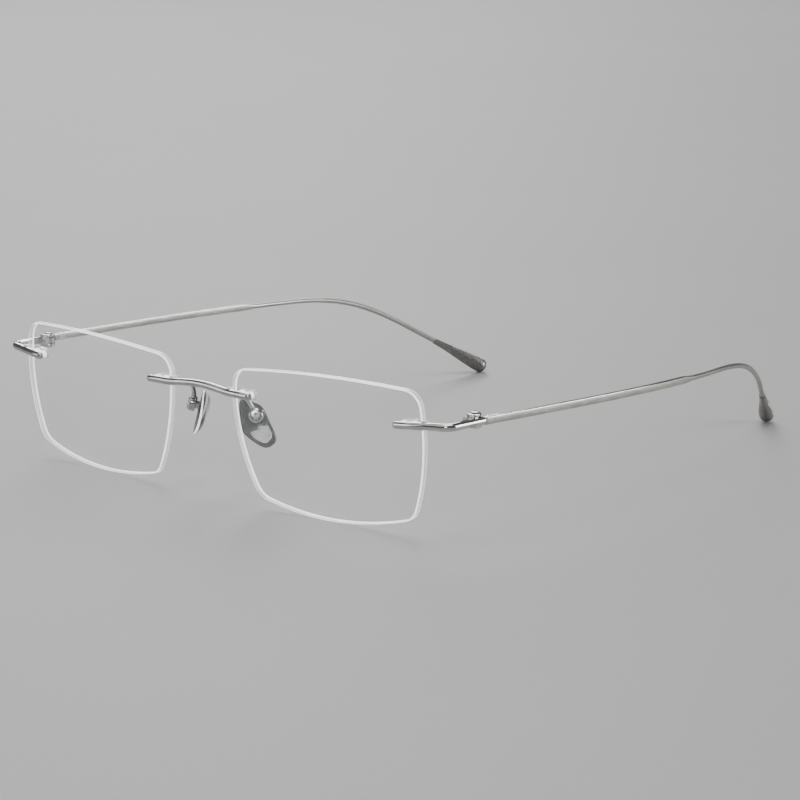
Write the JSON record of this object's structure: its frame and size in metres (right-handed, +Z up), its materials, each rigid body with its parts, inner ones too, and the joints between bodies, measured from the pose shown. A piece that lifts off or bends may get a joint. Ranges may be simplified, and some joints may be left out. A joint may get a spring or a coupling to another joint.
{
  "type": "rimless eyeglasses",
  "caption": "Rimless eyeglasses with rectangular lenses, slim metal bridge and end pieces, hinged temples with ribbed tips, and rocking nose pads.",
  "frame": {"origin": "on the standing plane, under the middle of the whole width and depth, where the lens bottoms and both tips stand on z = 0", "axes": "+X towards the wearer's left, +Y from the lenses back along the open temples, +Z up"},
  "size_m": [0.1454, 0.1484, 0.0324],
  "materials": {
    "lens": "clear, with polished edges",
    "bar_metal": "polished silver",
    "temple_metal": "fine brushed silver",
    "leaf_metal": "satin silver",
    "pad_metal": "polished silver",
    "screw": "polished silver",
    "sleeve": "clear",
    "washer": "dark",
    "pad_core": "bright plate",
    "pad": "clear and glossy, slightly flexible",
    "tip": "dark satin grey, ribbed towards the end"
  },
  "bodies": {
    "front": {"lens_left": "lens", "lens_right": "lens", "bridge": "bar_metal", "end_piece_left": "bar_metal", "end_piece_right": "bar_metal", "nasal_sleeve_left": "sleeve", "nasal_sleeve_right": "sleeve", "temporal_sleeve_left": "sleeve", "temporal_sleeve_right": "sleeve", "pad_arm_left": "pad_metal", "pad_arm_right": "pad_metal", "pad_box_left": "pad_metal", "pad_box_right": "pad_metal", "pad_screw_left": "screw", "pad_screw_right": "screw", "hinge_screw_left": "screw", "hinge_screw_right": "screw", "hinge_washers_left": "washer", "hinge_washers_right": "washer"},
    "temple_left_arm": {"temple_left": "temple_metal", "hinge_leaf_left": "leaf_metal", "hinge_rivet_left": "screw", "temple_tip_left": "tip"},
    "temple_right_arm": {"temple_right": "temple_metal", "hinge_leaf_right": "leaf_metal", "hinge_rivet_right": "screw", "temple_tip_right": "tip"},
    "pad_left": {"nose_pad_left": "pad", "pad_core_left": "pad_core"},
    "pad_right": {"nose_pad_right": "pad", "pad_core_right": "pad_core"}
  },
  "joints": [
    {"name": "temple_left_fold", "type": "hinge", "parent": "front", "child": "temple_left_arm", "pos_m": [0.06888, -0.05739, 0.02477], "axis": [0, 0, 1], "range_deg": [0, 82]},
    {"name": "temple_right_fold", "type": "hinge", "parent": "front", "child": "temple_right_arm", "pos_m": [-0.06888, -0.05739, 0.02477], "axis": [0, 0, -1], "range_deg": [0, 76]},
    {"name": "pad_left_rock", "type": "hinge", "parent": "front", "child": "pad_left", "pos_m": [0.0104, -0.06502, 0.01856], "axis": [-0.5121, -0.7807, -0.3582], "range_deg": [-8, 8]},
    {"name": "pad_right_rock", "type": "hinge", "parent": "front", "child": "pad_right", "pos_m": [-0.0104, -0.06502, 0.01856], "axis": [-0.5121, 0.7807, 0.3582], "range_deg": [-8, 8]}
  ]
}
